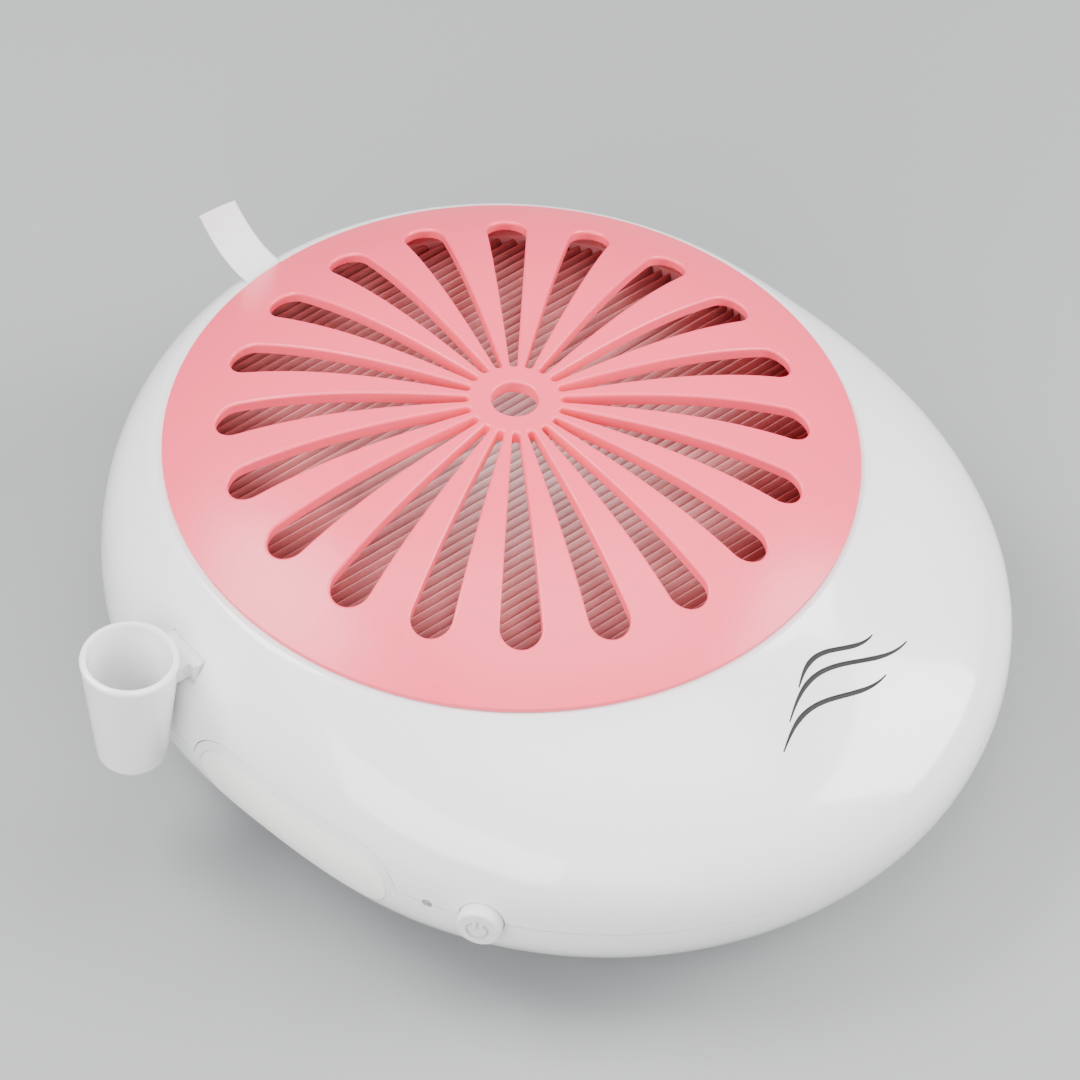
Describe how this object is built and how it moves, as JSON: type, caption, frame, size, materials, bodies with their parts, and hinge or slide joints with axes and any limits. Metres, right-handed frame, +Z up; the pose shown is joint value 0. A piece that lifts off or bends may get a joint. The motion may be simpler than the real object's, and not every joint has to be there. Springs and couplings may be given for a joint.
{
  "type": "nail dust collector",
  "caption": "Pebble-shaped desktop nail dust collector with a domed slotted grille over a pull-out pleated filter, fan, light window, push button and side tool cup.",
  "frame": {"origin": "on the table plane, under the centre of the round grille", "axes": "+Z up out of the grille, -Y toward the front, -X toward the light window, button and tool cup"},
  "size_m": [0.2789, 0.2903, 0.1051],
  "materials": {
    "white_plastic": "gloss",
    "pink_plastic": "satin",
    "lens_plastic": "satin",
    "lamp_glass": "polished",
    "foot_rubber": "matte",
    "screw_steel": "satin",
    "inner_plastic": "matte",
    "guard_steel": "satin",
    "motor_steel": "satin",
    "bearing_steel": "polished",
    "winding_copper": "satin",
    "magnet_iron": "matte",
    "fan_plastic": "satin",
    "nut_brass": "satin",
    "filter_plastic": "matte",
    "filter_paper": "matte",
    "gasket_rubber": "matte",
    "ribbon_fabric": "satin",
    "button_plastic": "satin",
    "switch_plastic": "matte",
    "spring_steel": "polished",
    "circuit_board": "satin",
    "reflector_plastic": "gloss",
    "chip_ceramic": "satin",
    "component_plastic": "satin",
    "lead_sleeve": "satin"
  },
  "bodies": {
    "housing": {"upper_shell": "white_plastic", "lower_shell": "white_plastic", "window_lens": "lens_plastic", "rubber_feet": "foot_rubber", "case_screws": "screw_steel", "filter_tray": "inner_plastic", "tray_screws": "screw_steel", "fan_guard": "guard_steel", "fan_scroll": "inner_plastic", "fan_cover": "inner_plastic", "fan_screws": "screw_steel", "motor_can": "motor_steel", "motor_screws": "screw_steel", "motor_bearings": "bearing_steel", "motor_stator": "winding_copper", "button_spring": "spring_steel", "switch_body": "switch_plastic", "switch_board": "circuit_board", "indicator_lamp": "lamp_glass", "light_frame": "reflector_plastic", "light_board": "circuit_board", "light_chips": "chip_ceramic", "dc_jack": "switch_plastic", "jack_nut": "nut_brass", "control_board": "circuit_board", "board_screws": "screw_steel", "board_components": "component_plastic", "light_lead": "lead_sleeve", "jack_lead": "lead_sleeve"},
    "filter": {"filter_frame": "filter_plastic", "filter_media": "filter_paper", "filter_gasket": "gasket_rubber", "pull_ribbon": "ribbon_fabric"},
    "grille": {"grille": "pink_plastic"},
    "cup": {"cup_holder": "white_plastic"},
    "button": {"power_button": "button_plastic", "switch_plunger": "switch_plastic"},
    "rotor": {"impeller": "fan_plastic", "motor_shaft": "bearing_steel", "motor_magnet": "magnet_iron", "impeller_nut": "nut_brass"}
  },
  "joints": [
    {"name": "filter_lift", "type": "slide", "parent": "housing", "child": "filter", "axis": [0, 0, 1], "range_m": [0, 0.06]},
    {"name": "grille_lift", "type": "slide", "parent": "filter", "child": "grille", "axis": [0, 0, 1], "range_m": [0, 0.08]},
    {"name": "cup_pull", "type": "slide", "parent": "housing", "child": "cup", "axis": [-0.9877, 0.1564, 0], "range_m": [0, 0.025]},
    {"name": "button_press", "type": "slide", "parent": "housing", "child": "button", "axis": [0.8829, 0.4695, 0], "range_m": [0, 0.0016], "stiffness_N_per_m": 800, "deforming": ["button_spring"]},
    {"name": "fan_spin", "type": "hinge", "parent": "housing", "child": "rotor", "pos_m": [0, 0, 0.03], "axis": [0, 0, 1], "continuous": true}
  ]
}
